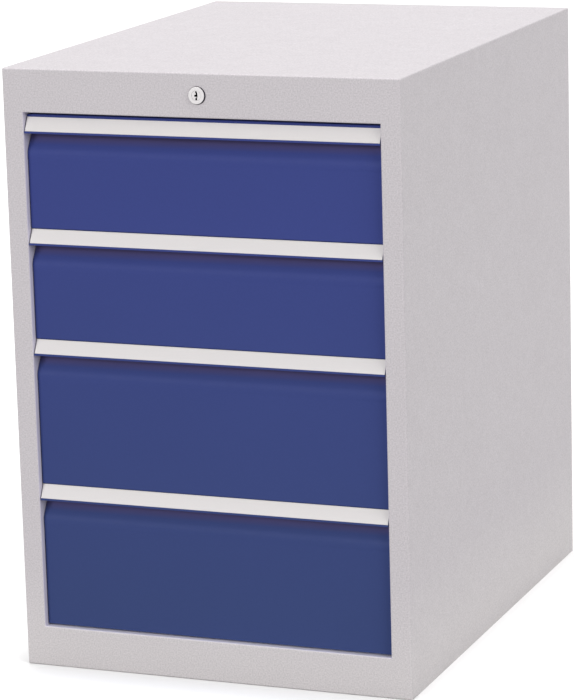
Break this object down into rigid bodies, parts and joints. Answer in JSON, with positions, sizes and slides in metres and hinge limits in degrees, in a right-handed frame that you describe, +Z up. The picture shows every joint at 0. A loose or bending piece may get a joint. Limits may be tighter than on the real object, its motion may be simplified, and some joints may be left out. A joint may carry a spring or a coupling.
{
  "type": "drawer cabinet",
  "caption": "Steel drawer cabinet in light grey with blue drawers on full-extension slides, label strips on folded grips and one central lock.",
  "frame": {"origin": "on the floor at the middle of the cabinet's base", "axes": "+Z up, +X to the right as seen from the front, -Y out of the front, where the drawers open"},
  "size_m": [0.555, 0.7386, 0.819],
  "materials": {
    "grey_paint": "fine-grained powder coat, satin",
    "blue_paint": "powder coat, satin",
    "label_plastic": "matte",
    "zinc_steel": "zinc plated",
    "lock_chrome": "polished"
  },
  "bodies": {
    "case": {"front_frame": "grey_paint", "left_side_panel": "grey_paint", "right_side_panel": "grey_paint", "top_panel": "grey_paint", "back_panel": "grey_paint", "floor_panel": "grey_paint", "front_left_post": "grey_paint", "front_right_post": "grey_paint", "rear_left_post": "grey_paint", "rear_right_post": "grey_paint", "lock_channel": "zinc_steel", "locking_bar_guides": "zinc_steel", "lock_housing": "lock_chrome", "lock_nut": "lock_chrome", "drawer_1_left_fixed_rail": "zinc_steel", "drawer_1_right_fixed_rail": "zinc_steel", "drawer_2_left_fixed_rail": "zinc_steel", "drawer_2_right_fixed_rail": "zinc_steel", "drawer_3_left_fixed_rail": "zinc_steel", "drawer_3_right_fixed_rail": "zinc_steel", "drawer_4_left_fixed_rail": "zinc_steel", "drawer_4_right_fixed_rail": "zinc_steel"},
    "lock": {"lock_core": "lock_chrome", "lock_shaft": "zinc_steel", "lock_crank": "zinc_steel"},
    "locking_bar": {"locking_bar": "zinc_steel", "locking_fingers": "zinc_steel"},
    "drawer_1": {"drawer_1_front": "blue_paint", "drawer_1_label_strip": "label_plastic", "drawer_1_tray": "grey_paint", "drawer_1_catch": "zinc_steel", "drawer_1_left_drawer_rail": "zinc_steel", "drawer_1_right_drawer_rail": "zinc_steel"},
    "drawer_1_middle_rails": {"drawer_1_left_middle_rail": "zinc_steel", "drawer_1_right_middle_rail": "zinc_steel"},
    "drawer_2": {"drawer_2_front": "blue_paint", "drawer_2_label_strip": "label_plastic", "drawer_2_tray": "grey_paint", "drawer_2_catch": "zinc_steel", "drawer_2_left_drawer_rail": "zinc_steel", "drawer_2_right_drawer_rail": "zinc_steel"},
    "drawer_2_middle_rails": {"drawer_2_left_middle_rail": "zinc_steel", "drawer_2_right_middle_rail": "zinc_steel"},
    "drawer_3": {"drawer_3_front": "blue_paint", "drawer_3_label_strip": "label_plastic", "drawer_3_tray": "grey_paint", "drawer_3_catch": "zinc_steel", "drawer_3_left_drawer_rail": "zinc_steel", "drawer_3_right_drawer_rail": "zinc_steel"},
    "drawer_3_middle_rails": {"drawer_3_left_middle_rail": "zinc_steel", "drawer_3_right_middle_rail": "zinc_steel"},
    "drawer_4": {"drawer_4_front": "blue_paint", "drawer_4_label_strip": "label_plastic", "drawer_4_tray": "grey_paint", "drawer_4_catch": "zinc_steel", "drawer_4_left_drawer_rail": "zinc_steel", "drawer_4_right_drawer_rail": "zinc_steel"},
    "drawer_4_middle_rails": {"drawer_4_left_middle_rail": "zinc_steel", "drawer_4_right_middle_rail": "zinc_steel"}
  },
  "joints": [
    {"name": "lock_turn", "type": "hinge", "parent": "case", "child": "lock", "pos_m": [0, -0.368, 0.79], "axis": [0, 1, 0], "range_deg": [0, 90]},
    {"name": "locking_bar_lift", "type": "slide", "parent": "case", "child": "locking_bar", "axis": [0, 0, 1], "range_m": [0, 0.02]},
    {"name": "drawer_1_slide", "type": "slide", "parent": "case", "child": "drawer_1", "axis": [0, -1, 0], "range_m": [0, 0.612]},
    {"name": "drawer_1_middle_slide", "type": "slide", "parent": "case", "child": "drawer_1_middle_rails", "axis": [0, -1, 0], "range_m": [0, 0.306]},
    {"name": "drawer_2_slide", "type": "slide", "parent": "case", "child": "drawer_2", "axis": [0, -1, 0], "range_m": [0, 0.612]},
    {"name": "drawer_2_middle_slide", "type": "slide", "parent": "case", "child": "drawer_2_middle_rails", "axis": [0, -1, 0], "range_m": [0, 0.306]},
    {"name": "drawer_3_slide", "type": "slide", "parent": "case", "child": "drawer_3", "axis": [0, -1, 0], "range_m": [0, 0.612]},
    {"name": "drawer_3_middle_slide", "type": "slide", "parent": "case", "child": "drawer_3_middle_rails", "axis": [0, -1, 0], "range_m": [0, 0.306]},
    {"name": "drawer_4_slide", "type": "slide", "parent": "case", "child": "drawer_4", "axis": [0, -1, 0], "range_m": [0, 0.612]},
    {"name": "drawer_4_middle_slide", "type": "slide", "parent": "case", "child": "drawer_4_middle_rails", "axis": [0, -1, 0], "range_m": [0, 0.306]}
  ],
  "couplings": [
    {"joint": "lock_turn", "follows": "locking_bar_lift", "rad_per_m": 78.54},
    {"joint": "drawer_1_middle_slide", "follows": "drawer_1_slide", "ratio": 0.5},
    {"joint": "drawer_2_middle_slide", "follows": "drawer_2_slide", "ratio": 0.5},
    {"joint": "drawer_3_middle_slide", "follows": "drawer_3_slide", "ratio": 0.5},
    {"joint": "drawer_4_middle_slide", "follows": "drawer_4_slide", "ratio": 0.5}
  ]
}
